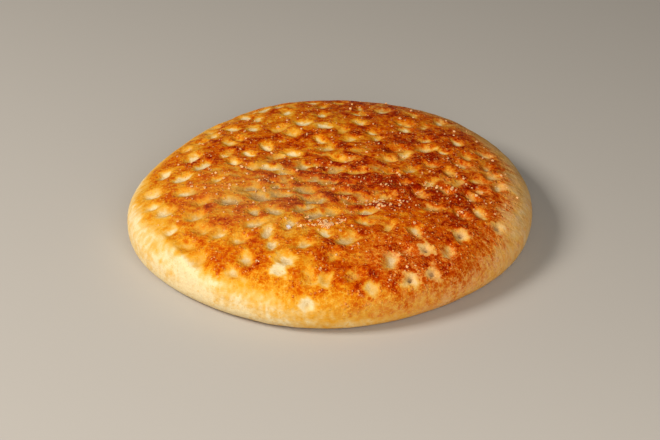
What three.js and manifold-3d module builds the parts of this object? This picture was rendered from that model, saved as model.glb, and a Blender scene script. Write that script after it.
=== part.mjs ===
// Round focaccia: one whole loaf of flat bread, shaped by hand, docked with the fingertips and baked.
//
// The loaf is a flattened ball of dough. Its body is a superellipsoid, a little oval and a little
// uneven in height, and flat where it lies on its tray. Its top is covered with shallow round
// dimples. Each is the place of a fingertip, a ball pressed a few millimetres into the dough, and
// where two presses meet they run together.
//
// Units are millimetres and +Z is up. The origin is on the tray at the middle of the loaf, and the
// front of the loaf faces -Y.

import * as THREE from 'three';
import { mergeVertices } from 'three/addons/utils/BufferGeometryUtils.js';
import Module from 'manifold-3d';

// The loaf.
const LOAF_RADIUS = 115;
const LOAF_HEIGHT = 39;
const GIRTH_HEIGHT = 12; // of the widest girth, above the tray
const CROWN_HEIGHT = LOAF_HEIGHT - GIRTH_HEIGHT;
const SHOULDER_POWER = 2.6; // 2 gives a plain ellipsoid, and more a flatter top and a squarer shoulder

// The outline is no true circle: each wave pushes it out in so many lobes, by a share of its radius.
const OUTLINE_WAVES = [
  { lobes: 2, share: 0.025, towards: 43 },
  { lobes: 3, share: 0.012, towards: -33 },
  { lobes: 4, share: 0.01, towards: 7 },
  { lobes: 5, share: 0.008, towards: -25 },
];

// The crown isn't even either: broad hollows sink into it, and long waves roll across it.
const CROWN_HOLLOWS = [
  { x: 0, y: 0, depth: 1.2, reach: 50 },
  { x: -45, y: -37, depth: 1.6, reach: 18 },
  { x: 22, y: -33, depth: 1.2, reach: 16 },
];
const CROWN_WAVES = [
  { height: 0.6, length: 71, towards: 25 },
  { height: 0.4, length: 43, towards: 110 },
];

// The dimples. Their field is a disc, a little off the middle of the loaf, and a few of them
// are deeper or wider than the rest.
const FIELD_RADIUS = 101;
const FIELD_MIDDLE = new THREE.Vector2(-5, -5);
const PRESS_COUNT = 140;
const NARROW_PRESS = 8.5;
const WIDE_PRESS = 12.5;
const SHALLOW_PRESS = 1.5;
const DEEP_PRESS = 2.8;
const MARKED_PRESSES = [
  { x: 7, y: -74, width: 14, depth: 3 },
  { x: 31, y: -88, width: 13, depth: 3 },
  { x: 45, y: -65, width: 11.5, depth: 2.6 },
  { x: -75, y: -46, width: 11, depth: 2.8 },
  { x: -83, y: -22, width: 12.5, depth: 2.4 },
  { x: -50, y: -71, width: 11, depth: 2.6 },
  { x: -25, y: -90, width: 11, depth: 2.4 },
  { x: 69, y: -64, width: 11, depth: 2.4 },
  { x: 38, y: 22, width: 14.5, depth: 2.6 },
  { x: -2, y: 24, width: 14, depth: 2.4 },
];
const PRESS_TRIES = 6; // places tried for each press: the more there are, the more evenly they spread
const PRESS_SEED = 1667;

// The faceting.
const DOUGH_DETAIL = 10;
const PROFILE_STEPS = 720;
const PRESS_SIDES = 7;
const PRESS_RINGS = 2;
const FINGERTIP_MARGIN = 1.25;

const { abs, acos, atan2, cos, exp, hypot, max, min, sin, PI } = Math;
const UP = new THREE.Vector3(0, 0, 1);

const wasm = await Module();
wasm.setup();

// Random numbers from 0 to 1, the same in every run.
function randomNumbers(seed) {
  let state = seed;
  return () => {
    state = (state * 16807) % 2147483647;
    return state / 2147483647;
  };
}

// A closed mesh as a solid for joining and cutting.
function solidOf(geometry) {
  geometry.deleteAttribute('normal');
  geometry.deleteAttribute('uv');
  const merged = mergeVertices(geometry);
  const mesh = new wasm.Mesh({
    numProp: 3,
    vertProperties: merged.getAttribute('position').array,
    triVerts: new Uint32Array(merged.index.array),
  });
  return new wasm.Manifold(mesh);
}

// A solid back as a geometry.
function geometryOf(solid) {
  const { vertProperties, triVerts } = solid.getMesh();
  const geometry = new THREE.BufferGeometry();
  geometry.setAttribute('position', new THREE.BufferAttribute(vertProperties, 3));
  geometry.setIndex(new THREE.BufferAttribute(triVerts, 1));
  return geometry;
}

// The loaf's radius in a direction round it.
function outlineRadius(turn) {
  let reach = 1;
  for (const { lobes, share, towards } of OUTLINE_WAVES) {
    reach += share * cos(lobes * (turn - THREE.MathUtils.degToRad(towards)));
  }
  return LOAF_RADIUS * reach;
}

// How far the crown stands above the even superellipsoid at a place.
function crownRise(x, y) {
  let rise = 0;
  for (const hollow of CROWN_HOLLOWS) {
    const distance = hypot(x - hollow.x, y - hollow.y);
    rise -= hollow.depth * exp(-((distance / hollow.reach) ** 2));
  }
  for (const { height, length, towards } of CROWN_WAVES) {
    const angle = THREE.MathUtils.degToRad(towards);
    rise += height * sin((2 * PI * (x * cos(angle) + y * sin(angle))) / length);
  }
  return rise;
}

// A point of the loaf: so far out as a share of its radius, so far above its girth as a share of the
// crown's height, which is negative below the girth, and in this direction round it.
function loafPoint(out, lift, turn) {
  const x = out * outlineRadius(turn) * cos(turn);
  const y = out * outlineRadius(turn) * sin(turn);
  const rise = lift > 0 ? crownRise(x, y) : 0;
  return new THREE.Vector3(x, y, GIRTH_HEIGHT + lift * (CROWN_HEIGHT + rise));
}

// The point of the loaf's top above a place on the tray.
function topPoint(x, y) {
  const turn = atan2(y, x);
  const out = min(hypot(x, y) / outlineRadius(turn), 1);
  const lift = (1 - out ** SHOULDER_POWER) ** (1 / SHOULDER_POWER);
  return loafPoint(out, lift, turn);
}

// The direction that faces straight out of the top at a place.
function topNormal(x, y) {
  const step = 1;
  const along = topPoint(x + step, y).sub(topPoint(x - step, y));
  const across = topPoint(x, y + step).sub(topPoint(x, y - step));
  return along.cross(across).normalize();
}

// How far out and how far up the profile of the dough is at an angle from the middle of its top.
function profileShares(angle) {
  const out = sin(angle);
  const lift = cos(angle);
  const reach = (out ** SHOULDER_POWER + abs(lift) ** SHOULDER_POWER) ** (-1 / SHOULDER_POWER);
  return { out: reach * out, lift: reach * lift };
}

// The share of the dough's skin that lies above each step down its profile, for facets of like size.
function measureSkin() {
  const areas = [0];
  let last = profileShares(0);
  for (let step = 1; step <= PROFILE_STEPS; step += 1) {
    const next = profileShares((PI * step) / PROFILE_STEPS);
    const fall = (last.lift - next.lift) * CROWN_HEIGHT;
    const slant = hypot((next.out - last.out) * LOAF_RADIUS, fall);
    areas.push(areas[step - 1] + slant * (next.out + last.out));
    last = next;
  }
  return areas.map((area) => area / areas[PROFILE_STEPS]);
}

// The angle from the middle of the top that has this share of the skin above it.
function angleBelow(share, areas) {
  const step = max(areas.findIndex((area) => area >= share), 1);
  const part = (share - areas[step - 1]) / (areas[step] - areas[step - 1]);
  return (PI * (step - 1 + part)) / PROFILE_STEPS;
}

// The dough before it is docked: the facets of an icosahedron spread evenly over it, cut off at the tray.
function makeDough() {
  const geometry = new THREE.IcosahedronGeometry(1, DOUGH_DETAIL);
  const position = geometry.getAttribute('position');
  const areas = measureSkin();
  const point = new THREE.Vector3();
  for (let i = 0; i < position.count; i += 1) {
    point.fromBufferAttribute(position, i);
    const { out, lift } = profileShares(angleBelow((1 - point.z) / 2, areas));
    point.copy(loafPoint(out, lift, atan2(point.y, point.x)));
    position.setXYZ(i, point.x, point.y, point.z);
  }
  const tray = new THREE.BoxGeometry(3 * LOAF_RADIUS, 3 * LOAF_RADIUS, LOAF_HEIGHT);
  tray.translate(0, 0, -LOAF_HEIGHT / 2);
  return solidOf(geometry).subtract(solidOf(tray));
}

// Where the fingertips go: the marked presses first, then each next one in the widest gap that a
// few tries find, as a baker's fingers do.
function layPresses() {
  const random = randomNumbers(PRESS_SEED);
  const presses = [...MARKED_PRESSES];
  while (presses.length < PRESS_COUNT) {
    let best = null;
    let bestGap = -1;
    let tries = 0;
    while (tries < PRESS_TRIES) {
      const x = (2 * random() - 1) * FIELD_RADIUS;
      const y = (2 * random() - 1) * FIELD_RADIUS;
      if (x * x + y * y < FIELD_RADIUS * FIELD_RADIUS) {
        const place = { x: FIELD_MIDDLE.x + x, y: FIELD_MIDDLE.y + y };
        const gap = min(...presses.map((press) => (press.x - place.x) ** 2 + (press.y - place.y) ** 2));
        if (gap > bestGap) {
          best = place;
          bestGap = gap;
        }
        tries += 1;
      }
    }
    best.width = NARROW_PRESS + (WIDE_PRESS - NARROW_PRESS) * random();
    best.depth = SHALLOW_PRESS + (DEEP_PRESS - SHALLOW_PRESS) * random();
    presses.push(best);
  }
  return presses;
}

// A fingertip: the ball that leaves a dimple of this width and depth. It is finely faceted only
// where it is in the dough, and runs on past the rim of the dimple, as the dough isn't flat there.
function makeFingertip({ x, y, width, depth }) {
  const radius = (width ** 2 / 4 + depth ** 2) / (2 * depth);
  const immersed = FINGERTIP_MARGIN * acos(1 - depth / radius);
  const profile = [new THREE.Vector2(0, -radius)];
  for (let ring = 1; ring <= PRESS_RINGS; ring += 1) {
    const angle = (immersed * ring) / PRESS_RINGS;
    profile.push(new THREE.Vector2(radius * sin(angle), -radius * cos(angle)));
  }
  profile.push(new THREE.Vector2(0, radius));
  const geometry = new THREE.LatheGeometry(profile, PRESS_SIDES);
  geometry.rotateX(PI / 2);
  const normal = topNormal(x, y);
  geometry.applyQuaternion(new THREE.Quaternion().setFromUnitVectors(UP, normal));
  const middle = topPoint(x, y).addScaledVector(normal, radius - depth);
  geometry.translate(middle.x, middle.y, middle.z);
  return solidOf(geometry);
}

// The whole loaf, with the middle of its outline over the origin.
function makeFocaccia() {
  let loaf = makeDough();
  for (const press of layPresses()) {
    loaf = loaf.subtract(makeFingertip(press));
  }
  const geometry = geometryOf(loaf);
  geometry.computeBoundingBox();
  const middle = geometry.boundingBox.getCenter(new THREE.Vector3());
  geometry.translate(-middle.x, -middle.y, 0);
  const crust = new THREE.MeshStandardMaterial({ color: '#c87a2e', roughness: 0.45, metalness: 0 });
  const mesh = new THREE.Mesh(geometry, crust);
  mesh.name = 'focaccia';
  return mesh;
}

const group = new THREE.Group();
group.add(makeFocaccia());

export default group;
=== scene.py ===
# %% [markdown]
# # A round focaccia
#
# Focaccia is flat bread: a ball of oiled dough, flattened by hand, pressed all over with the
# fingertips, salted and baked. This lesson dresses a plain model of one, whose size and place
# are fixed, with the crust that a real loaf has. First the plain model is loaded and measured.

# %% Load the plain model
import math
import random

import bmesh
import bpy
import numpy as np
from mathutils import Matrix, Vector, noise


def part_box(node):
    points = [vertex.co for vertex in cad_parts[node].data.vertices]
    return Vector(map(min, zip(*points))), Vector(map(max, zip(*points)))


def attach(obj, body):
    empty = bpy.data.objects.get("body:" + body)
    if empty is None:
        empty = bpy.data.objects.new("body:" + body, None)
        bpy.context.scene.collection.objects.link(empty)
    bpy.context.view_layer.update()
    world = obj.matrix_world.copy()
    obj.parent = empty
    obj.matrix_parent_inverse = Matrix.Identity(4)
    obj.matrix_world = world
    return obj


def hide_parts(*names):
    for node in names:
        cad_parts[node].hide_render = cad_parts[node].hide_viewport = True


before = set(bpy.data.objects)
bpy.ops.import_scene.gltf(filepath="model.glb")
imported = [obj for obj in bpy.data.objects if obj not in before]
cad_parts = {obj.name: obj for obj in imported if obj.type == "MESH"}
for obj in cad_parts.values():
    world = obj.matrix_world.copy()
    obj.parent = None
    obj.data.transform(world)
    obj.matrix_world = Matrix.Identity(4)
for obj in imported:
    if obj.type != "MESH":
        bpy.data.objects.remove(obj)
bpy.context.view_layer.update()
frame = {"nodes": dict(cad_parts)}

MM = 0.001  # lengths below are in millimetres, and Blender's are in metres
low, high = (np.array(corner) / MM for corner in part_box("focaccia"))
print("loaded", ", ".join(frame["nodes"]), "of", (high - low).round(1), "mm")

# %% [markdown]
# ## The camera
#
# A loaf on a table is looked at from across the table, not from above, so that its side and
# the roundness of its shoulder show. A long lens from nearly a metre away keeps the far edge
# as wide as it looks to the eye. A short lens close by would make the near edge bulge.

# %% Place the camera
CAMERA_DISTANCE = 920
CAMERA_ELEVATION = math.radians(30)
LENS = 86.6
NEAREST_SEEN = 50
AIM_BELOW = math.radians(0.97)  # the loaf sits a little above the middle of the view
AIM_LEFT = math.radians(0.03)


def add_object(name, data):
    """A new object in the scene, at the origin."""
    added = bpy.data.objects.new(name, data)
    bpy.context.scene.collection.objects.link(added)
    return added


def place_camera():
    """A camera in front of the loaf, looking slightly down on it."""
    data = bpy.data.cameras.new("camera")
    data.lens = LENS
    data.clip_start = NEAREST_SEEN * MM
    camera = add_object("camera", data)
    back = CAMERA_DISTANCE * math.cos(CAMERA_ELEVATION)
    rise = CAMERA_DISTANCE * math.sin(CAMERA_ELEVATION)
    camera.location = Vector((0, -back, high[2] / 2 + rise)) * MM
    camera.rotation_euler = (math.pi / 2 - CAMERA_ELEVATION - AIM_BELOW, 0, AIM_LEFT)
    bpy.context.scene.camera = camera
    return camera


camera = place_camera()
print("the camera is at", [round(v, 3) for v in camera.location])

# %% [markdown]
# ## The shape of the dough
#
# Hand-shaped dough is round but never a true circle, and its top is flatter than a ball's. The
# plain loaf is a superellipsoid, which is an ellipsoid with a flatter top and a squarer
# shoulder, cut flat where it lies on the tray. The fine loaf could be wrapped onto that model
# by a modifier, but then it would copy its flat triangles. So the same named values and
# formulas are used here again, and the two shapes agree without being compared.

# %% The dough's named values
LOAF_RADIUS = 115
LOAF_HEIGHT = 39
GIRTH_HEIGHT = 12  # where the loaf is widest
CROWN_HEIGHT = LOAF_HEIGHT - GIRTH_HEIGHT
SHOULDER_POWER = 2.6  # 2 gives an ellipse, and more than 2 a squarer shoulder
print("the even dough is", 2 * LOAF_RADIUS, "mm wide and", LOAF_HEIGHT, "mm high")

# %% The outline, seen from above
OUTLINE_WAVES = (  # lobes, share of the radius, direction
    (2, 0.025, 43),
    (3, 0.012, -33),
    (4, 0.01, 7),
    (5, 0.008, -25),
)


def outline_radius(turn):
    """The loaf's radius in a direction round it."""
    reach = 1
    for lobes, share, towards in OUTLINE_WAVES:
        reach = reach + share * np.cos(lobes * (turn - math.radians(towards)))
    return LOAF_RADIUS * reach


print("the outline's radius is", outline_radius(0).round(1), "mm at the right")

# %% The crown's hollows and waves
CROWN_HOLLOWS = ((0, 0, 1.2, 50), (-45, -37, 1.6, 18), (22, -33, 1.2, 16))  # x, y, depth, reach
CROWN_WAVES = ((0.6, 71, 25), (0.4, 43, 110))  # height, length, direction


def crown_rise(x, y):
    """How far the crown stands above the even superellipsoid."""
    rise = 0
    for middle_x, middle_y, depth, reach in CROWN_HOLLOWS:
        rise = rise - depth * np.exp(-((x - middle_x) ** 2 + (y - middle_y) ** 2) / reach**2)
    for height, length, towards in CROWN_WAVES:
        along = x * math.cos(math.radians(towards)) + y * math.sin(math.radians(towards))
        rise = rise + height * np.sin(2 * math.pi * along / length)
    return rise


print("the crown's middle rises by", crown_rise(0, 0).round(2), "mm")

# %% Points on the loaf
def profile_shares(angle):
    """How far out and how far up the profile is, at an angle from the middle of the top."""
    out, lift = np.sin(angle), np.cos(angle)
    power = SHOULDER_POWER
    reach = (np.abs(out) ** power + np.abs(lift) ** power) ** (-1 / power)
    return reach * out, reach * lift


def loaf_points(out, lift, turn):
    """Points of the loaf, so far out, so far up and in this direction round it."""
    x = out * outline_radius(turn) * np.cos(turn)
    y = out * outline_radius(turn) * np.sin(turn)
    rise = np.where(lift > 0, crown_rise(x, y), 0)
    return np.stack([x, y, GIRTH_HEIGHT + lift * (CROWN_HEIGHT + rise)], axis=-1)


print("the middle of the top is at", loaf_points(0.0, 1.0, 0.0).round(2))

# %% [markdown]
# ## Where the fingertips went
#
# A baker's fingers spread the dimples by eye: never in rows, but seldom far apart. The deepest
# and widest ones have marked places. For the others, random places alone would clump, so each
# new dimple takes the widest gap that a few tries find. The random numbers come from a
# generator that is simple enough to give the plain model the same dimples.

# %% The marked dimples
MARKED_PRESSES = (  # x, y, width and depth of the deepest and widest ones
    (7, -74, 14, 3),
    (31, -88, 13, 3),
    (45, -65, 11.5, 2.6),
    (-75, -46, 11, 2.8),
    (-83, -22, 12.5, 2.4),
    (-50, -71, 11, 2.6),
    (-25, -90, 11, 2.4),
    (69, -64, 11, 2.4),
    (38, 22, 14.5, 2.6),
    (-2, 24, 14, 2.4),
)
print(len(MARKED_PRESSES), "dimples have marked places")

# %% Random numbers, and values between limits
RANDOM_FACTOR = 16807
RANDOM_LIMIT = 2147483647


def random_numbers(seed):
    """Random numbers from 0 to 1, the same in every run."""
    state = seed
    while True:
        state = state * RANDOM_FACTOR % RANDOM_LIMIT
        yield state / RANDOM_LIMIT


def between(limits, share):
    """The value that lies this share of the way from the lower limit to the upper one."""
    return limits[0] + (limits[1] - limits[0]) * share


print("half way from 8.5 to 12.5 is", between((8.5, 12.5), 0.5))

# %% Find a place with room for one more dimple
FIELD_RADIUS = 101
FIELD_MIDDLE = (-5, -5)
PRESS_TRIES = 6


def place_in_field(numbers):
    """A random place inside the round field of dimples."""
    while True:
        x = (2 * next(numbers) - 1) * FIELD_RADIUS
        y = (2 * next(numbers) - 1) * FIELD_RADIUS
        if x * x + y * y < FIELD_RADIUS**2:
            return FIELD_MIDDLE[0] + x, FIELD_MIDDLE[1] + y


def squared_gap(place, presses):
    """The square of the distance from a place to the nearest dimple."""
    return min((press[0] - place[0]) ** 2 + (press[1] - place[1]) ** 2 for press in presses)


def place_with_room(numbers, presses):
    """Of a few random places, the one that is furthest from every dimple."""
    places = [place_in_field(numbers) for _ in range(PRESS_TRIES)]
    return max(places, key=lambda place: squared_gap(place, presses))


room = math.sqrt(squared_gap((0, 0), MARKED_PRESSES))
print("the nearest marked dimple is", round(room, 1), "mm from the middle")

# %% Lay out the dimples
PRESS_COUNT = 140
PRESS_SEED = 1667
PRESS_WIDTHS = (8.5, 12.5)
PRESS_DEPTHS = (1.5, 2.8)


def lay_presses():
    """Each press as x, y, width and depth."""
    numbers = random_numbers(PRESS_SEED)
    presses = list(MARKED_PRESSES)
    while len(presses) < PRESS_COUNT:
        place = place_with_room(numbers, presses)
        width = between(PRESS_WIDTHS, next(numbers))
        depth = between(PRESS_DEPTHS, next(numbers))
        presses.append((*place, width, depth))
    return np.array(presses)


presses = lay_presses()
print(len(presses), "dimples, the first fill at", presses[len(MARKED_PRESSES)].round(2))

# %% [markdown]
# ## The fine dough
#
# The loaf needs a skin of like triangles everywhere, because dimples, wrinkles and blisters can
# be anywhere on it. A UV sphere crowds its poles, and one pole would be right in the middle of
# the crust. An icosphere has none, so its vertices are moved onto the loaf instead. They are
# spread by area, with fewer of them on the underside, where little happens.

# %% Make the skin
def make_skin():
    """A closed ball of about 184,000 triangles."""
    skin = bmesh.new()
    bmesh.ops.create_icosphere(skin, subdivisions=6, radius=1)
    bmesh.ops.subdivide_edges(skin, edges=skin.edges[:], cuts=2, use_grid_fill=True)
    bmesh.ops.triangulate(skin, faces=skin.faces[:])
    return skin


skin = make_skin()
print(len(skin.verts), "vertices and", len(skin.faces), "triangles")

# %% Spread the skin evenly over the profile
UNDERSIDE_WEIGHT = 0.12  # how many vertices the underside gets, next to the rest of the skin
PROFILE_STEPS = 2000


def angles_for(shares):
    """The angles from the middle of the top that have these shares of the skin above them."""
    angles = np.linspace(0, math.pi, PROFILE_STEPS)
    out, lift = profile_shares(angles)
    height = np.maximum(GIRTH_HEIGHT + lift * CROWN_HEIGHT, 0)
    slant = np.hypot(np.diff(out) * LOAF_RADIUS, np.diff(height))
    weight = np.where(height[1:] > 0, 1, UNDERSIDE_WEIGHT)
    area = np.concatenate([[0], np.cumsum(slant * weight * (out[1:] + out[:-1]))])
    return np.interp(shares, area / area[-1], angles)


half_way = math.degrees(angles_for(0.5))
print("half of the skin lies within", round(half_way), "degrees of the middle of the top")

# %% Lay the skin on the loaf
def positions_of(mesh):
    """A bmesh's vertices as an array of rows."""
    return np.array([vertex.co[:] for vertex in mesh.verts])


ball = positions_of(skin)
ball /= np.linalg.norm(ball, axis=1)[:, None]
turn = np.arctan2(ball[:, 1], ball[:, 0])  # each vertex's direction round the loaf
out, lift = profile_shares(angles_for((1 - ball[:, 2]) / 2))
dough = loaf_points(out, lift, turn)
print("the dough runs from", dough.min(axis=0).round(1), "to", dough.max(axis=0).round(1))

# %% Find each vertex's way out of the dough
def normals_of(mesh, points):
    """The outward normal of each vertex with the mesh laid on these points."""
    for vertex, point in zip(mesh.verts, points):
        vertex.co = point
    mesh.normal_update()
    return np.array([vertex.normal[:] for vertex in mesh.verts])


outward = normals_of(skin, dough)
tilt = np.degrees(np.arccos(np.clip(outward[:, 2], -1, 1)))  # 0 on top, 90 at the girth
print("the skin's tilt runs from", tilt.min().round(1), "to", tilt.max().round(1), "degrees")

# %% [markdown]
# ## Unevenness
#
# Nothing in dough is exactly even. Smooth noise gives bumps of any size. A Displace modifier
# could do that too, but here the same noise has to serve the shape and the browning, because
# a browned spot belongs to the crust that it is on. So it is worked out for each vertex, with
# two more helpers: a soft step, and a soft oval patch.

# %% A helper for smooth noise
SEED_STEP = Vector((37.1, 11.7, 5.3))


def bumps(points, size, seed, octaves=2, stretch=(1, 1, 1)):
    """Smooth noise from about -1 to 1 at each point, with bumps this many millimetres wide."""
    scaled = points / (np.array(stretch) * size)
    shift = SEED_STEP * seed
    return np.array([noise.fractal(Vector(point) + shift, 1, 2, octaves) for point in scaled])


print("noise at the first vertices:", bumps(dough[:3], 24, seed=7).round(2))

# %% Helpers for soft steps and soft patches
def fade(low_edge, high_edge, values):
    """0 below the low edge and 1 above the high edge, with a smooth step between."""
    share = np.clip((values - low_edge) / (high_edge - low_edge), 0, 1)
    return share * share * (3 - 2 * share)


def spot(x, y, middle_x, middle_y, long, wide=None, turned=0):
    """A soft round or oval patch: 1 in its middle, and nearly 0 twice its length away."""
    across, along = x - middle_x, y - middle_y
    c, s = math.cos(math.radians(turned)), math.sin(math.radians(turned))
    u, v = (across * c + along * s) / long, (along * c - across * s) / (wide or long)
    return np.exp(-(u * u + v * v))


def within(points, patch):
    """How far each point belongs to a patch: 1 in its middle, and 0 well outside it."""
    return spot(points[:, 0], points[:, 1], *patch)


print("half a patch's length from its middle it is still", spot(5, 0, 0, 0, 10).round(2))

# %% [markdown]
# ## Small marks, and parts that differ
#
# Besides the dimples the crust has smaller marks. Gas burst out at five of them and left a pin
# hole, and four are shallow dents. Nor is the loaf alike all over: its middle sank as it cooled,
# which drew the dimples there out sideways, and its right front stayed dry and floury, with
# smaller dimples. A painted mask could say where, but an oval that fades out takes one line.

# %% Place the small marks and the parts
PIN_HOLES = ((53, -92), (50, -78), (70, -62), (91, -50), (41, -98))
DENTS = ((20, -106), (-4, -103), (-28, -97), (-13, -114))
SAG = (-6, -18, 60, 38)  # x, y and half sizes of the part that sank as the loaf cooled
DRY = (62, -72, 42, 32)  # the floury part, where the dimples are small
print(int((within(dough, SAG) > 0.5).sum()), "vertices lie well inside the sunken part")

# %% [markdown]
# ## The dimples
#
# Each fingertip leaves a soft bowl, deepest in its middle, and pushes up a low rim round it.
# Rather than carve 140 bowls one by one, every vertex is moved along its own normal by the sum
# of all that happened to it. The depths are raised to a power before they are added, so where
# bowls meet the deeper one wins, with a smooth change over.

# %% The middle of a dimple, and its oval shape
def press_middle(x, y):
    """The point of the dough's top above a place on the tray."""
    angle = np.arctan2(y, x)
    share = min(math.hypot(x, y) / outline_radius(angle), 1)
    up = (1 - share**SHOULDER_POWER) ** (1 / SHOULDER_POWER)
    return loaf_points(share, up, angle)


def oval_distance(away, distance, turned, ovalness):
    """The distances from a dimple's middle, longer one way, which makes its bowl oval."""
    along = away[:, 0] * math.cos(turned) + away[:, 1] * math.sin(turned)
    squeeze = 1 + ovalness * (2 * (along / np.maximum(distance, 0.01)) ** 2 - 1)
    return distance * squeeze


print("the first dimple's middle is at", press_middle(*presses[0][:2]).round(1))

# %% The small marks
BLEND_POWER = 3  # the higher it is, the more the deepest bowl alone counts
DENT_DEPTH = 1.3
DENT_REACH = 2.8
DENT_PALENESS = 0.9
DENT_PALE_EDGE = (2.5, 6.5)  # where the pale patch starts to fade, and where it ends
DENT_FRAY = 1.2


def press_small_marks(points, fray):
    """The small marks' depths, raised for blending, and how pale the crust is in them."""
    depths = np.zeros(len(points))
    pale = np.zeros(len(points))
    for x, y in PIN_HOLES + DENTS:
        distance = np.linalg.norm(points - press_middle(x, y), axis=1)
        frayed = distance * (1 + DENT_FRAY * fray)
        pale = np.maximum(pale, DENT_PALENESS * (1 - fade(*DENT_PALE_EDGE, frayed)))
        depths += (DENT_DEPTH * np.exp(-((distance / DENT_REACH) ** 2))) ** BLEND_POWER
    return depths, pale


print("the small marks are", DENT_DEPTH, "mm deep")

# %% One fingertip's bowl, rim and pale patch
BOWL_REACH = 0.53  # of the width: a soft bowl fades out a little outside the fingertip
BOWL_DEPTH = 0.88  # of the press, because the dough springs back
BACK_SHALLOWING = 0.45  # how much shallower the bowls at the back are
RIM_PLACE = 1.15  # in bowls' radii from the middle
RIM_WIDTH = 0.3


def bowl_depth(share, depth, y):
    """How deep a bowl is, at these shares of its radius."""
    shallow = 1 - BACK_SHALLOWING * fade(0, 90, y)
    return BOWL_DEPTH * shallow * depth * np.clip(1 - share**2, 0, 1) ** 2


def bowl_rim(share):
    """The low rim that the fingertip pushed up, 1 on its ridge."""
    return np.exp(-(((share - RIM_PLACE) / RIM_WIDTH) ** 2))


def pale_patch(reach):
    """How pale a bowl is: fully in the middle, and less out to a frayed edge."""
    return 0.6 * (1 - fade(0.2, 0.75, reach)) + 0.4 * (1 - fade(0.5, 1.3, reach))


print("a dimple pressed 3 mm deep springs back to", bowl_depth(np.zeros(1), 3, 0)[0], "mm")

# %% Press all the dimples
PRESS_DICE = 5
FAR = 99.0  # further away than anything that matters
WOBBLE = 0.14  # how uneven a bowl's outline is, next to its radius
FRAY = 0.3  # and how frayed its pale patch
DRY_FRAY = 0.6  # how much more frayed the patches are where it is floury
OVALNESS = 0.22
SAG_OVALNESS = 0.25  # how much more oval they are where the loaf sank
PALE_SIZES = (0.56, 1.12)  # of the bowl's radius
PALE_LEVELS = (0.4, 1.15)


def pale_size(dice, x, y, sag):
    """How far a pale patch reaches: less far at the back right and where it is floury."""
    size = dice.uniform(*PALE_SIZES) * (1 + 0.25 * sag) * (1 - 0.25 * fade(20, 90, x + 0.6 * y))
    return size * (1 - 0.22 * spot(x, y, *DRY))


def press_all(points):
    """The dimples' depth, paleness and rims, and the nearest one's distance, at each point."""
    dice = random.Random(PRESS_DICE)
    wobble = WOBBLE * bumps(points, 5, seed=1)
    fray = FRAY * bumps(points, 3, seed=16, octaves=3) * (1 + DRY_FRAY * within(points, DRY))
    depths, pale = press_small_marks(points, fray)
    rims = np.zeros(len(points))
    nearest = np.full(len(points), FAR)
    for x, y, width, depth in presses:
        away = points - press_middle(x, y)
        distance = np.linalg.norm(away, axis=1)
        sag = spot(x, y, *SAG)
        turned = dice.uniform(0, math.pi) * (1 - sag) + math.pi / 2 * sag
        longer = oval_distance(away, distance, turned, OVALNESS + SAG_OVALNESS * sag)
        share = longer / (BOWL_REACH * width) + wobble
        depths += bowl_depth(share, depth, y) ** BLEND_POWER
        patch = pale_patch(share / pale_size(dice, x, y, sag) + fray)
        pale = np.maximum(pale, dice.uniform(*PALE_LEVELS) * patch)
        rims = np.maximum(rims, bowl_rim(share))
        nearest = np.minimum(nearest, distance)
    return depths ** (1 / BLEND_POWER), pale, rims, nearest


dimple_depth, dimple_pale, dimple_rim, dimple_distance = press_all(dough)
print("the deepest dimple is", dimple_depth.max().round(2), "mm deep")

# %% [markdown]
# ## Folds, holes and the tray
#
# Where the loaf sank, its oiled skin was too long and lay down in low folds from left to right.
# A cloth simulation would fold it too, but nobody could say where. Noise that is stretched
# sideways gives the same look, and can be placed. Underneath, the dough took the shape of the
# tray, with a rounded edge where it curls up from it, so a sharp cut would look wrong.

# %% Fold the sunken middle
FOLDED = (-4, -14, 66, 44)  # x, y and half sizes of the folded part
FOLD_WIDTH = 4.6
FOLD_STRETCH = (1.9, 1, 1)
FOLD_SLOPE = 0.25  # the folds run down a little to the right
FOLD_WANDER = 6


def sunken(points):
    """Long low folds, 1 on their ridges and -1 in the dips, where the middle sank."""
    bent = points.copy()
    bent[:, 1] += FOLD_SLOPE * points[:, 0] + FOLD_WANDER * bumps(points, 17, seed=17)
    return within(points, FOLDED) * bumps(bent, FOLD_WIDTH, seed=6, stretch=FOLD_STRETCH)


folds = sunken(dough)
print("the folds run from", folds.min().round(2), "to", folds.max().round(2))

# %% Prick the pin holes
PIN_HOLE_SIZE = 1.1
PIN_HOLE_DEPTH = 2.6


def pricked(points):
    """1 in the pin holes, where gas burst out, and 0 away from them."""
    holes = sum(within(points, (*middle, PIN_HOLE_SIZE)) for middle in PIN_HOLES)
    return np.where(tilt < 90, holes, 0)


holes = pricked(dough)
print("the pin holes take up", int((holes > 0.5).sum()), "vertices")

# %% The flat underside
TRAY_EDGE = 2.2  # how gently the side turns into the flat underside
DEEPEST_SHARE = 0.9  # of the girth's height: what is this far below the tray ends up on it


def softly_above(height):
    """The height, with a smooth turn instead of a kink where it would go below 0."""
    return (height + np.sqrt(height**2 + TRAY_EDGE**2)) / 2


def lay_on_tray(points):
    """The points with everything that would reach below the tray pressed flat onto it."""
    floor = softly_above(-GIRTH_HEIGHT * DEEPEST_SHARE)
    points[:, 2] = np.maximum(softly_above(points[:, 2]) - floor, 0)
    return points


print("a point 12 mm below the tray is laid at", lay_on_tray(np.array([[0, 0, -12.0]]))[0])

# %% [markdown]
# ## The relief of the crust
#
# The dough between the dimples rises into cushions. Longer bumps make the crown roll, short
# ones pucker it, and the side is smoother. At the lower left the edge was tucked under by hand,
# which left a ridge. Sculpting could add all this, but a sum of named heights can be changed
# one by one, and gives the same loaf every time.

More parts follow.
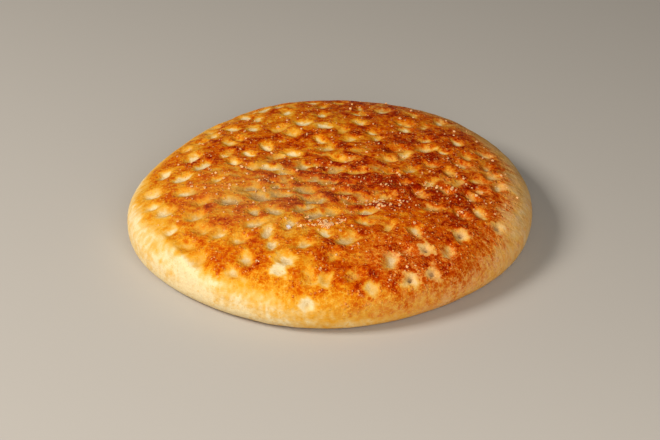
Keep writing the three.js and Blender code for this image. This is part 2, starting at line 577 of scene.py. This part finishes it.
# %% Add up the relief
CUSHION_HEIGHT = 0.3
CUSHION_INSIDE = (3.5, 7.5)  # a cushion rises this far from the nearest dimple's middle
CUSHION_OUTSIDE = (10, 17)  # and ends here, where the crust is plain
RIM_HEIGHT = 0.14
ROLLS = ((24, 0.45, 2), (9, 0.25, 3), (4, 0.12, 4))  # size, height, seed
SIDE_ROLL = 0.4  # how much of them is left on the side
FOLD_HEIGHT = 0.75
TUCK = (-83, -74, 20, 2.6, -57)  # x, y, half length, half width and direction of the ridge
TUCK_HEIGHT = 1.8


def relief(points):
    """How far each point moves along its normal."""
    top = 1 - fade(25, 75, tilt)
    near = fade(*CUSHION_INSIDE, dimple_distance)
    cushion = near * (1 - fade(*CUSHION_OUTSIDE, dimple_distance))
    amount = CUSHION_HEIGHT * cushion + RIM_HEIGHT * dimple_rim - dimple_depth
    for size, height, seed in ROLLS:
        amount += height * (SIDE_ROLL + (1 - SIDE_ROLL) * top) * bumps(points, size, seed)
    ridge = within(points, TUCK) * (1 - fade(45, 80, tilt))
    amount += TUCK_HEIGHT * ridge
    return amount + FOLD_HEIGHT * top * folds - PIN_HOLE_DEPTH * holes


heights = relief(dough)
print("the relief runs from", heights.min().round(1), "to", heights.max().round(1), "mm")

# %% Move the vertices
def fit_to_plain(points):
    """The points moved and eased so that their box is the plain loaf's box."""
    lowest, highest = points.min(axis=0), points.max(axis=0)
    scale = (high - low) / (highest - lowest)
    print("fitting the fine loaf takes a scale of", scale.round(4))
    return (points - lowest) * scale + low


crust = fit_to_plain(lay_on_tray(dough + outward * heights[:, None]))

# %% [markdown]
# ## How brown it is
#
# An oven browns what it reaches. The cushions between the dimples stand up into the heat and
# go orange and then red-brown, while the dimples and the low side stay pale. All of this is one
# number for each vertex, from 0 for pale crust to 1 for the darkest, and the material turns the
# number into a colour later. A colour painted on each vertex would do, but one number can be
# pushed up or down everywhere at once.
#
# The first question is how far down the side the brown reaches. That differs all round the
# loaf, because one side was nearer the heat. Baking also draws streaks down the side, so the
# edge is ragged, apart from two parts where it is smoother.

# %% Where the browning ends
EDGES = (  # direction, tilts where the browning starts to fade and has gone, level left, flour
    (0, 9, 38, 0.24, 1),
    (30, 8, 38, 0.26, 0.9),
    (60, 8, 34, 0.28, 0.8),
    (90, 11, 37, 0.3, 0.6),
    (120, 12, 42, 0.28, 0.3),
    (150, 10, 46, 0.2, 0.1),
    (175, 16, 46, 0.11, 0),
    (200, 12, 42, 0.1, 0),
    (220, 15, 48, 0.08, 0),
    (235, 20, 56, 0.05, 0),
    (250, 26, 76, 0.12, 0),
    (270, 42, 95, 0.29, 0.1),
    (290, 42, 105, 0.43, 0.35),
    (305, 34, 106, 0.54, 0.35),
    (325, 12, 66, 0.42, 0.75),
    (340, 5, 35, 0.26, 1),
)
edge_turns, edge_starts, edge_ends, edge_levels, edge_flours = np.transpose(EDGES)


def by_turn(values):
    """Values given for directions round the loaf, at each vertex."""
    return np.interp(np.degrees(turn), edge_turns, values, period=360)


print("the level left low on the side averages", by_turn(edge_levels).mean().round(2))

# %% The ragged edge of the browning
EVEN = (66, -84, 38, 34)  # x, y and half sizes of a part where the brown fades evenly
CALMED = 0.55  # how much of the raggedness is taken away there
SMOOTH = (-94, -52, 34, 50)  # another part, with fewer streaks
STREAK_LENGTH = 20  # in degrees of tilt
STREAKINESS = 0.26
SMOOTHED = 0.18  # how much of that is taken away in the smooth part
BLOTCHINESS = 0.3
EDGE_REACH = (-0.15, 1.15)  # the fade reaches a little past both tilts


def streaks(width):
    """Smooth noise that is drawn out down the side, with streaks this many millimetres wide."""
    around = np.stack([turn * LOAF_RADIUS / width, tilt / STREAK_LENGTH, 0 * turn], axis=-1)
    return bumps(around, 1, seed=11)


def gone(points):
    """How much of the browning has gone, from 0 on top to 1 low on the side."""
    streaked = (STREAKINESS - SMOOTHED * within(points, SMOOTH)) * streaks(2.0)
    ragged = streaked + BLOTCHINESS * bumps(points, 13, seed=12, octaves=3)
    ragged = ragged * (1 - CALMED * within(points, EVEN))
    width = by_turn(edge_ends) - by_turn(edge_starts)
    return fade(*EDGE_REACH, (tilt - by_turn(edge_starts)) / width + ragged)


side = gone(crust)
under = fade(125, 165, tilt)  # 1 on the flat underside
print("the browning has gone from", round(100 * float((side > 0.5).mean())), "% of the skin")

# %% [markdown]
# ## Hotter and cooler patches
#
# On top the brown comes in patches, where the crust stood up into the heat or had more oil.
# Noise alone would put them anywhere. So a table says where the largest are and how much
# browner each one is, with a minus for a paler one, and noise of three sizes does the rest.
# The widest paler patch, over the back, is painted sheen instead, standing in for the shine
# that the crust's low specular level leaves out.

# %% The patches
HEAT = (  # x, y, half length, half width and direction of a patch, and how much browner it is
    (38, -21, 36, 10, -26, 0.42),
    (24, -16, 13, 6, -35, 0.2),
    (31, 10, 26, 13, -28, -0.16),
    (39, -51, 10, 8, 0, -0.36),
    (40, -79, 10, 7, 0, 0.2),
    (30, -8, 12, 7, 0, -0.24),
    (53, -11, 12, 7, 0, -0.2),
    (10, -98, 10, 7, 0, 0.2),
    (-11, -95, 6, 6, 0, -0.18),
    (-15, -116, 14, 6, 0, -0.16),
    (-26, -97, 9, 8, 0, -0.3),
    (-43, -93, 9, 8, 0, 0.28),
    (-66, -92, 9, 8, 0, 0.6),
    (-52, -69, 9, 7, 0, -0.14),
    (1, -86, 7, 6, 0, 0.16),
    (12, -88, 7, 6, 0, -0.14),
    (-61, -2, 9, 7, 0, -0.16),
    (31, 83, 12, 8, 0, 0.14),
    (5, -46, 10, 7, 0, -0.14),
    (-48, -107, 14, 7, 0, -0.34),
    (-30, -57, 10, 7, 0, -0.16),
    (-34, -71, 10, 8, 0, 0.18),
    (-13, -67, 20, 7, 0, -0.24),
    (-17, -44, 12, 7, 0, 0.2),
    (-48, -25, 12, 9, 0, -0.12),
    (-99, -42, 13, 22, 0, -0.22),
    (80, -26, 12, 10, 0, 0.12),
    (9, 4, 13, 9, 0, 0.3),
    (-5, -11, 12, 7, 0, 0.18),
    (-10, 18, 12, 8, 0, -0.12),
    (29, -41, 15, 6, -15, 0.34),
    (30, 34, 32, 16, 0, -0.13),
    (-37, 1, 12, 8, 0, 0.12),
    (-76, 12, 12, 8, 0, 0.3),
    (-61, 27, 12, 9, 0, 0.16),
    (-36, 66, 14, 11, 0, -0.2),
    (18, 87, 14, 10, 0, 0.14),
    # painted sheen: this wide paler patch over the back stands in for the crust's left-out shine
    (30, 72, 85, 32, 0, -0.08),
)
print(len(HEAT), "patches,", sum(change > 0 for *_, change in HEAT), "of them browner")

# %% The browning of the top
TOP_LEVEL = 0.63
FIERCE_LEVEL = 0.19  # how much browner the right half is, which was nearer the heat
WIDE_PATCHES = 0.13
MIDDLING_PATCHES = 0.22
SMALL_PATCHES = 0.16
FIERCE_PATCHES = 0.12  # how much stronger the small patches are in the right half


def top_browning(points):
    """The browning of the top without its dimples."""
    fierce = fade(-50, 40, points[:, 0] + 0.4 * points[:, 1])
    level = TOP_LEVEL + FIERCE_LEVEL * fierce
    for *patch, change in HEAT:
        level += change * within(points, patch)
    calm = 1 - 0.5 * within(points, DRY)
    middling = MIDDLING_PATCHES * calm * bumps(points, 11, seed=18)
    level += WIDE_PATCHES * bumps(points, 24, seed=7) + middling
    small = (SMALL_PATCHES + FIERCE_PATCHES * fierce) * calm
    return level + small * bumps(points, 6, seed=8, octaves=3)


top_level = top_browning(crust)
print("without its dimples the top's browning averages", top_level[tilt < 30].mean().round(2))

# %% [markdown]
# ## The whole browning
#
# Dimples are paler than the crust round them, folds are browner on their ridges, and the side
# has its own level with streaks. The ridge of the tuck is painted paler, a painted highlight on
# its lit crest, and a browner strip behind it paints its shade and brings the brown's edge up to
# the ridge. The underside lay on the hot tray and is an even golden brown with darker patches.

# %% The side and the underside
# painted shade: a browner strip behind the tuck's ridge, which also brings the brown there up to
# it
PAINTED_TUCK_SHADE = (-77, -70, 19, 5, -57)  # the browner strip on the ridge's inner side
UNDER_LEVEL = 0.5


def side_browning(points):
    """The browning low on the side."""
    calm = 1 - CALMED * within(points, EVEN)
    mottling = (0.1 + 0.25 * by_turn(edge_levels)) * bumps(points, 8, seed=13, octaves=4)
    level = by_turn(edge_levels) + mottling * calm + 0.14 * streaks(1.6)
    # painted shade behind the tuck's ridge, and a painted highlight on its crest, which is made
    # paler
    level += 0.26 * within(points, PAINTED_TUCK_SHADE) - 0.4 * within(points, TUCK)
    return level - 0.09 * fade(80, 110, tilt)


def under_browning(points):
    """The browning of the underside."""
    return UNDER_LEVEL + 0.14 * bumps(points, 17, seed=14) + 0.1 * bumps(points, 5, seed=15)


side_level, under_level = side_browning(crust), under_browning(crust)
print("the underside's browning averages", under_level[under > 0.5].mean().round(2))

# %% All of it together
CUSHION_BROWNING = 0.08
FOLD_BROWNING = 0.45
SHOULDER_PALING = 0.12
SIDE_LIMIT = 0.2  # how much browner than the top the side can be


def browning(points):
    """The whole browning, from 0 to 1."""
    x, y = points[:, 0], points[:, 1]
    paleness = 0.7 + 0.1 * fade(0, 80, y - x) + 0.12 * fade(10, 60, y)
    browner = CUSHION_BROWNING * fade(4, 8, dimple_distance) + FOLD_BROWNING * folds
    paler = paleness * dimple_pale + SHOULDER_PALING * fade(20, 60, tilt)
    level = top_level + browner - paler
    level = level * (1 - side) + np.minimum(side_level, level + SIDE_LIMIT) * side
    return np.clip(level * (1 - under) + under_level * under, 0, 1)


# besides the browning, this number carries the tuck's painted highlight and shade, and painted
# sheen over the back
bake = browning(crust)
print("the crust's browning averages", bake.mean().round(2))

# %% [markdown]
# ## Damp crust, painted shade and flour
#
# Where the loaf sank, oil and steam kept the crust damp: it is the colour of wet straw instead
# of gold, and there and in the deep dimples the darker straw also paints the shade of the
# hollows. The pin holes are painted dark inside, as the shade in them. Flour from the board is
# left on the right side and in the dimples there. These could be painted by noise in the
# material, but they belong to places, so each is one more number for a vertex.

# %% Where the crust is damp, and where shade is painted
# the straw over this part also paints the shade of its hollow
SUNK = (-40, -32, 40, 28)  # x, y and half sizes of the dampest part
HOLE_MARK = 2  # above 1, so that the material can tell a pin hole from damp crust


def dampness_and_shade(points):
    """How wet the crust looks, with painted shade in hollows and pin holes."""
    sunk = within(points, SUNK)
    # partly painted shade: deep dimples at the right front get darker straw for the shade in them
    deep_damp_and_shade = fade(0.8, 2.2, dimple_depth) * fade(-10, 50, points[:, 0] - points[:, 1])
    moist = (0.1 + 0.9 * sunk) * dimple_pale - folds + 0.35 * deep_damp_and_shade
    # more straw over the sunken part, partly painted shade, and a mark for the pin holes' painted
    # shade
    moist = np.clip(moist, 0, 1) * (1 - fade(0.45, 0.75, bake)) + 0.2 * sunk + HOLE_MARK * holes
    return moist * (1 - fade(60, 100, tilt))


moist = dampness_and_shade(crust)
print("the dampness averages", moist.mean().round(3), "and reaches", moist.max().round(2))

# %% Where flour is left
FLOURED = (48, -86, 26, 14)  # x, y and half sizes of a part with flour on top
UNDER_FLOUR = 0.5
THICKEST_FLOUR = 1.3


def floured(points):
    """How much flour is left at each point."""
    dusted = 0.8 + 0.4 * bumps(points, 7, seed=19, octaves=3) + 0.4 * streaks(1.8) * (1 - under)
    flour = side * by_turn(edge_flours) + 0.5 * within(points, FLOURED)
    flour = flour + 0.45 * dimple_pale * fade(0, 70, points[:, 0])
    return (flour * (1 - under) + UNDER_FLOUR * under) * np.clip(dusted, 0, THICKEST_FLOUR)


flour = floured(crust)
print("the flour averages", flour.mean().round(2))

# %% [markdown]
# ## The loaf as a piece
#
# The moved skin becomes a mesh, and the three numbers become attributes on its vertices, which
# is where a material can read them. It rides on the body and stands for the plain loaf.

# %% Make the loaf
def add_piece(name, shape):
    """A new object in the scene from a bmesh."""
    mesh = bpy.data.meshes.new(name)
    shape.to_mesh(mesh)
    shape.free()
    return add_object(name, mesh)


def write_layer(piece, name, values):
    """A number for each vertex of a piece, under a name that a material can read."""
    layer = piece.data.attributes.new(name, "FLOAT", "POINT")
    layer.data.foreach_set("value", values.astype(np.float32))


def make_loaf():
    """The fine loaf, which stands for the plain one."""
    for vertex, point in zip(skin.verts, crust * MM):
        vertex.co = point
    for face in skin.faces:
        face.smooth = True
    loaf = add_piece("loaf", skin)
    write_layer(loaf, "bake", bake)
    write_layer(loaf, "moist", moist)
    write_layer(loaf, "flour", flour)
    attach(loaf, "root")
    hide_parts("focaccia")
    return loaf


loaf = make_loaf()
print("the loaf has", len(loaf.data.polygons), "triangles")

# %% [markdown]
# ## Shader maths in Python
#
# A material is a network of nodes. Wired by hand, a sum of three masks is a page of code, so a
# small class wraps a socket and lets it take part in Python's own arithmetic: every + or *
# adds a Math node. Any other node comes from one method of a second class.

# %% A class for shader values
class Value:
    """A node's output that takes part in sums."""

    def __init__(self, maker, socket):
        self.maker = maker
        self.socket = socket

    def math(self, operation, *others):
        """A Math node with this value first."""
        values = dict(enumerate((self, *others)))
        return self.maker.node("ShaderNodeMath", {"operation": operation}, values)

    def __add__(self, other):
        return self.math("ADD", other)

    def __sub__(self, other):
        return self.math("SUBTRACT", other)

    def __mul__(self, other):
        return self.math("MULTIPLY", other)

    def __rsub__(self, other):
        return self.math("MULTIPLY", -1) + other

    __radd__ = __add__
    __rmul__ = __mul__

    def also(self, output):
        """Another output of the same node."""
        return Value(self.maker, self.socket.node.outputs[output])

    def blend(self, other, share):
        """This colour turned towards another one."""
        sockets = {0: share, 6: self, 7: other}
        return self.maker.node("ShaderNodeMix", {"data_type": "RGBA"}, sockets, output=2)

    def step(self, low_edge, high_edge):
        """0 below the low edge and 1 above the high edge."""
        settings = {"interpolation_type": "SMOOTHSTEP"}
        sockets = {0: self, 1: low_edge, 2: high_edge}
        return self.maker.node("ShaderNodeMapRange", settings, sockets)


print("a shader value has", ", ".join(name for name in vars(Value) if name[0] != "_"))

# %% A class for materials
def set_stops(ramp, stops):
    """The stops of a colour ramp as (position, colour) pairs."""
    while len(ramp.elements) < len(stops):
        ramp.elements.new(1)
    for element, (position, colour) in zip(ramp.elements, stops):
        element.position = position
        element.color = (*colour, 1)


class Material:
    """A material that is made node by node."""

    def __init__(self, name):
        self.material = bpy.data.materials.new(name)
        self.material.use_nodes = True
        self.tree = self.material.node_tree
        self.tree.nodes.clear()

    def node(self, kind, settings, sockets, output=0):
        """A node with its settings, then the values or links of its sockets."""
        node = self.tree.nodes.new(kind)
        for name, value in settings.items():
            if name == "stops":
                set_stops(node.color_ramp, value)
            else:
                setattr(node, name, value)
        for key, value in sockets.items():
            if isinstance(value, Value):
                self.tree.links.new(value.socket, node.inputs[key])
            else:
                node.inputs[key].default_value = value
        return Value(self, node.outputs[output]) if node.outputs else None

    def place(self):
        """Where on the object a point is."""
        return self.node("ShaderNodeTexCoord", {}, {}, output=3)

    def attribute(self, name):
        """A number that was written on the vertices."""
        return self.node("ShaderNodeAttribute", {"attribute_name": name}, {}, output=2)

    def noise(self, place, size, detail=3.0, roughness=0.55):
        """Noise from 0 to 1 with bumps this many millimetres wide."""
        scale = 1 / (size * MM)
        sockets = {"Vector": place, "Scale": scale, "Detail": detail, "Roughness": roughness}
        return self.node("ShaderNodeTexNoise", {}, sockets)

    def ramp(self, stops, level):
        """The colour for a level, from stops of (position, colour)."""
        return self.node("ShaderNodeValToRGB", {"stops": stops}, {"Fac": level})

    def finish(self, **sockets):
        """The surface itself."""
        names = {name.replace("_", " "): value for name, value in sockets.items()}
        surface = self.node("ShaderNodeBsdfPrincipled", {}, names)
        self.node("ShaderNodeOutputMaterial", {}, {"Surface": surface})
        return self.material


print("a material has", ", ".join(name for name in vars(Material) if name[0] != "_"))

# %% [markdown]
# ## The crust's colour
#
# The browning picks a colour from a ramp: cream dough, straw, gold, orange, red-brown. Read
# from the vertices alone it would be soft, so noise breaks it up below the size of a triangle:
# wide patches, fine grains that stay lighter, and thin pale veins where the skin stretched.

# %% Start the crust's material
crust_finish = Material("crust")
place = crust_finish.place()
baked = crust_finish.attribute("bake")
damp_and_shaded = crust_finish.attribute("moist")
floury = crust_finish.attribute("flour")
brown = baked.step(0.2, 0.6)  # 0 on pale crust, 1 on brown crust
rough = baked.step(0.35, 0.65)  # 1 where the brown crust is rough
print("the crust's network starts with", len(crust_finish.tree.nodes), "nodes")

# %% Break up the browning
GRAIN_PALING = 0.06
ROUGH_PALING = 0.08  # how much more the grains pale rough crust
VEIN_PALING = 0.22


def thin_lines(spacing, detail, width):
    """1 on winding lines, where noise passes its middle value, and 0 between them."""
    away = (crust_finish.noise(place, spacing, detail=detail) - 0.5).math("ABSOLUTE")
    return 1 - away.step(0.0, width)


patches = crust_finish.noise(place, 2.6, detail=2.0)
spread = (0.3 + 0.44 * rough) * (1 - 0.5 * floury)
level = baked + 0.01 + 0.05 * rough + (patches - 0.5) * spread
grain = crust_finish.noise(place, 1.3, detail=1.0).step(0.45, 0.7)
level = level - grain * (GRAIN_PALING + ROUGH_PALING * rough)
level = level - thin_lines(3.2, 3.0, 0.05) * brown * VEIN_PALING
print("breaking up the browning takes it to", len(crust_finish.tree.nodes))

# %% Turn the browning into a colour
CRUST_COLOURS = (
    (0.0, (0.88, 0.72, 0.42)),
    (0.1, (0.84, 0.6, 0.26)),
    (0.2, (0.82, 0.49, 0.12)),
    (0.34, (0.78, 0.36, 0.02)),
    (0.54, (0.68, 0.2, 0.003)),
    (0.7, (0.57, 0.1, 0.001)),
    (0.86, (0.45, 0.042, 0.0005)),
    (1.0, (0.24, 0.008, 0.0005)),
)
SPECK_DARKNESS = 0.12

specks = crust_finish.noise(place, 1.6, detail=1.0).step(0.66, 0.74)
colour = crust_finish.ramp(CRUST_COLOURS, level + specks * SPECK_DARKNESS)
print("the ramp has", len(CRUST_COLOURS), "colours")

# %% [markdown]
# ## Straw, holes, flour and pore shade
#
# Four more things lie over the browning: wet straw where the crust is damp, with darker
# mottling, which in the hollows also paints their shade; the pin holes, painted dark as the
# shade inside them; dusty flour that shows best on pale crust; and small darker spots, painted
# shade of fine pores. Each could be a material of its own, but they run into each other on
# real bread, so each turns the colour a little way towards its own.

# %% Damp crust with painted shade, and the pin holes' painted shade
DAMP_STRAW_AND_SHADE = (0.39, 0.23, 0.085, 1)
DARK_STRAW_AND_SHADE = (0.34, 0.17, 0.05, 1)
PAINTED_HOLE_SHADE = (0.12, 0.05, 0.015, 1)

mottle = crust_finish.noise(place, 1.3, detail=4.0, roughness=0.65).step(0.38, 0.66)
# damp straw, which in the sunken middle and the deep dimples also paints their shade
colour = colour.blend(DAMP_STRAW_AND_SHADE, damp_and_shaded * 0.8)
colour = colour.blend(DARK_STRAW_AND_SHADE, mottle * damp_and_shaded * 0.85)
# painted shade: the pin holes are painted near black, as the shade inside them
colour = colour.blend(PAINTED_HOLE_SHADE, damp_and_shaded.step(1.3, 2.0))
print("with damp crust and holes there are", len(crust_finish.tree.nodes), "nodes")

# %% Flour, and painted shade in pores
FLOUR = (0.86, 0.57, 0.33, 1)
PORE_SHADE_COLOUR = (0.62, 0.36, 0.12, 1)
PORE_SIZE = 0.7

dust = floury * (0.28 + 0.42 * (1 - mottle))
colour = colour.blend(FLOUR, dust * (1 - level.step(0.45, 0.75)))
# painted shade: small darker spots on pale crust, the shade in fine pores
pore_shade = crust_finish.noise(place, PORE_SIZE, detail=2.0).step(0.5, 0.75) * (1 - brown)
colour = colour.blend(PORE_SHADE_COLOUR, pore_shade * 0.4)
print("with flour and pores there are", len(crust_finish.tree.nodes), "nodes")

# %% [markdown]
# ## Blisters, painted glints and painted ridge highlights
#
# Oil in a hot oven raises blisters a millimetre or two apart, and they catch the light as glints.
# They are too small for the mesh, so they are cells of a Voronoi pattern, raised by bump, and
# their middles are painted light as painted glints. A second noise crowds them together,
# because they come in swarms, and thin lines between them are painted golden, as painted
# highlights on crackle ridges.

# %% Paint glints on the blisters and highlights on the ridges
BLISTER_SPACING = 1.9
PAINTED_GLINT_COLOUR = (1, 0.5, 0.18, 1)
PAINTED_RIDGE_HIGHLIGHT = (0.9, 0.42, 0.05, 1)

cells = {"Vector": place, "Scale": 1 / (BLISTER_SPACING * MM), "Randomness": 1.0}
away = crust_finish.node("ShaderNodeTexVoronoi", {"feature": "F1"}, cells)
one = crust_finish.node("ShaderNodeSeparateColor", {}, {"Color": away.also("Color")})
crowd = crust_finish.noise(place, 4.0, detail=3.0).step(0.42, 0.58)
chosen = one.step(0.35, 0.45) * crowd
# painted glints: the middles of the chosen blister cells are painted light
painted_glints = (1 - away.step(0.16, 0.36)) * chosen * (0.4 * brown + 0.6 * baked.step(0.55, 0.8))
colour = colour.blend(PAINTED_GLINT_COLOUR, painted_glints * 0.85)
# painted highlights: thin golden lines along crackle ridges
ridges = thin_lines(2.4, 1.0, 0.04) * crowd * baked.step(0.4, 0.7)
colour = colour.blend(PAINTED_RIDGE_HIGHLIGHT, ridges * 0.45)
print("the blisters are", BLISTER_SPACING, "mm apart")

# %% Raise the blisters and finish the crust
OIL_TINT = (1, 0.5, 0.13, 1)
BUMP_HEIGHT = 0.75

crackle = crust_finish.noise(place, 2.2, detail=3.0, roughness=0.6)
blister = (1 - away.step(0.1, 0.6)) * chosen * brown
bump = {"Height": blister * 0.7 + crackle * 0.9, "Strength": 0.9, "Distance": BUMP_HEIGHT * MM}
crust_material = crust_finish.finish(
    Base_Color=colour,
    Roughness=0.68 - brown * 0.25,
    Specular_IOR_Level=0.012,
    Specular_Tint=OIL_TINT,
    Coat_Weight=blister * 0.25,
    Coat_Tint=OIL_TINT,
    Coat_Roughness=0.15,
    Normal=crust_finish.node("ShaderNodeBump", {}, bump),
)
loaf.data.materials.append(crust_material)
print("the finished crust has", len(crust_finish.tree.nodes), "nodes")

# %% [markdown]
# ## Salt
#
# The baker salts the dough before it is baked. The grains lie where the hand let them fall, so
# some are in small heaps. A particle system would scatter them, but it leaves nothing to
# export. Each is a crystal of its own instead, a cube with knocked corners, half sunk into
# the crust. They are one piece, because nobody moves a single grain.

# %% Where the salt fell
SALT_HEAPS = ((25, -41, 16, 6), (-3, -60, 9, 5), (58, -24, 24, 12), (-48, -10, 30, 20))
HEAP_AMOUNT = 150  # shared out over a heap's half sizes, so a small heap is a dense one
SALT_SPARSE = 0.06  # how likely a grain is away from the heaps
SALT_CLUMPING = 3


def salted(points):
    """How likely a grain is to lie at each vertex."""
    heaps = sum(within(points, heap) * HEAP_AMOUNT / (heap[2] * heap[3]) for heap in SALT_HEAPS)
    clumped = np.exp(SALT_CLUMPING * bumps(points, 5, seed=20))
    return (SALT_SPARSE + heaps) * clumped * (1 - fade(12, 40, tilt))


salt_chances = salted(crust)
print("salt can lie on", int((salt_chances > 0).sum()), "vertices")

# %% Choose the grains
GRAIN_COUNT = 520
GRAIN_SIZES = (0.5, 1.4)
LARGE_GRAINS = ((-22, -63, 2.3), (24, -38, 1.5), (3, -61, 1.5))  # x, y, size


def choose_grains(dice):
    """The vertex that each grain lies on, and its size."""
    picked = dice.choices(range(len(crust)), weights=salt_chances, k=GRAIN_COUNT)
    sizes = [between(GRAIN_SIZES, dice.random() ** 2) for _ in picked]
    for x, y, size in LARGE_GRAINS:
        away = np.hypot(crust[:, 0] - x, crust[:, 1] - y) + FAR * (tilt > 60)
        picked.append(int(away.argmin()))
        sizes.append(size)
    return picked, sizes


print(GRAIN_COUNT, "grains from", GRAIN_SIZES, "mm, and", len(LARGE_GRAINS), "large ones")

# %% Shape one grain
GRAIN_LIFT = 0.2  # of its size, out of the crust
GRAIN_WIDTHS = (0.6, 1)  # next to its length
GRAIN_HEIGHTS = (0.5, 0.9)
CORNER_KNOCK = 0.12


def random_turn(dice):
    """A turn to face any way at all."""
    way = Vector([dice.gauss(0, 1) for _ in range(3)])
    return way.to_track_quat("Z", "Y").to_matrix().to_4x4()


def add_grain(salt, dice, index, size):
    """One crystal on the crust at a vertex."""
    middle = Matrix.Translation(Vector(crust[index] + GRAIN_LIFT * size * outward[index]))
    turned = random_turn(dice)
    stretched = Matrix.Diagonal((1, dice.uniform(*GRAIN_WIDTHS), dice.uniform(*GRAIN_HEIGHTS), 1))
    matrix = Matrix.Scale(MM, 4) @ middle @ turned @ stretched
    for corner in bmesh.ops.create_cube(salt, size=size, matrix=matrix)["verts"]:
        knocks = [dice.uniform(-CORNER_KNOCK, CORNER_KNOCK) * size * MM for _ in range(3)]
        corner.co += Vector(knocks)


print("a grain's corners are knocked by up to", CORNER_KNOCK, "of its size")

# %% Make the salt
SALT_DICE = 12
CUBE_CORNERS = 8


def make_salt():
    """All the grains as one piece."""
    dice = random.Random(SALT_DICE)
    picked, sizes = choose_grains(dice)
    salt = bmesh.new()
    for index, size in zip(picked, sizes):
        add_grain(salt, dice, index, size)
    bmesh.ops.recalc_face_normals(salt, faces=salt.faces[:])
    grains = add_piece("salt", salt)
    write_layer(grains, "size", np.repeat(sizes, CUBE_CORNERS))
    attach(grains, "root")
    return grains


salt = make_salt()
print("the salt has", len(salt.data.polygons), "faces")

# %% [markdown]
# ## The salt's finish
#
# Salt is clear, but oil creeps into small grains and stains them amber, while the few large
# ones stay white. A little transmission lets light into them, and clouds inside keep them from
# looking like glass. The size that was written on each grain says which colour it gets.

# %% Finish the salt
SALT_COLOURS = ((0.3, (0.95, 0.46, 0.16)), (0.7, (1.0, 0.74, 0.42)))
SALT_WHITE = (0.85, 0.8, 0.85, 1)
WHITE_FROM = (1.6, 2.2)  # the sizes between which a grain turns white


def salt_material():
    """Salt crystals: the small ones are stained by the oil, and the large ones stay white."""
    made = Material("salt")
    cloud = made.noise(made.place(), 0.5, detail=2.0)
    stained = made.ramp(SALT_COLOURS, cloud)
    return made.finish(
        Base_Color=stained.blend(SALT_WHITE, made.attribute("size").step(*WHITE_FROM)),
        Roughness=0.25 + cloud * 0.3,
        Specular_Tint=OIL_TINT,
        Transmission_Weight=0.15,
        IOR=1.54,
    )


salt.data.materials.append(salt_material())
print("the grains have", len(SALT_COLOURS), "stained colours, and white")

# %% [markdown]
# ## The table and the light
#
# Bread looks dull in flat light. A soft light from the left skims the crust, so that each
# dimple has a lit side and a shaded one, and a weaker one from the front keeps the near side
# from going dark. Both are warm area lights, because a small lamp would cut hard shadows, and
# the floor is plain and pale so that nothing competes with the loaf.

# %% Make the floor
FLOOR_COLOUR = (0.5, 0.48, 0.46, 1)
FLOOR_ROUGHNESS = 0.9
FLOOR_SIZE = 4  # in metres, far wider than the view


def make_floor():
    """A flat floor in plain pale paint."""
    sheet = bmesh.new()
    bmesh.ops.create_grid(sheet, x_segments=1, y_segments=1, size=FLOOR_SIZE)
    floor = add_piece("floor", sheet)
    paint = Material("floor").finish(Base_Color=FLOOR_COLOUR, Roughness=FLOOR_ROUGHNESS)
    floor.data.materials.append(paint)
    return floor


floor = make_floor()
print("the floor has", len(floor.data.polygons), "face")

# %% Hang the lights
WARM = (1, 0.93, 0.82)
LIGHTS = (  # name, place and size in metres, power
    ("key", (-1.05, -0.32, 0.97), 0.5, 18.4),
    ("fill", (0.2, -0.88, 0.5), 0.6, 6.4),
)


def soft_light(name, place, size, power):
    """A square area light that faces the loaf."""
    data = bpy.data.lights.new(name, "AREA")
    data.size = size
    data.energy = power
    data.color = WARM
    lamp = add_object(name, data)
    lamp.location = place
    lamp.rotation_euler = (-Vector(place)).to_track_quat("-Z", "Y").to_euler()
    return lamp


lamps = [soft_light(*light) for light in LIGHTS]
print("lit by", " and ".join(lamp.name for lamp in lamps))

# %% Light the room
ROOM_LIGHT = 0.1


def light_room():
    """Even light from all round."""
    world = bpy.data.worlds.new("room")
    world.use_nodes = True
    background = world.node_tree.nodes["Background"]
    background.inputs["Color"].default_value = (*WARM, 1)
    background.inputs["Strength"].default_value = ROOM_LIGHT
    bpy.context.scene.world = world


light_room()
bpy.context.scene.view_settings.view_transform = "Standard"
print("the room's own light is", ROOM_LIGHT)

# %% [markdown]
# ## The size
#
# A dressed loaf must be about as large as the plain one, or it wouldn't fit where that does, so
# the fine loaf was scaled to the plain loaf's box when its vertices were moved.
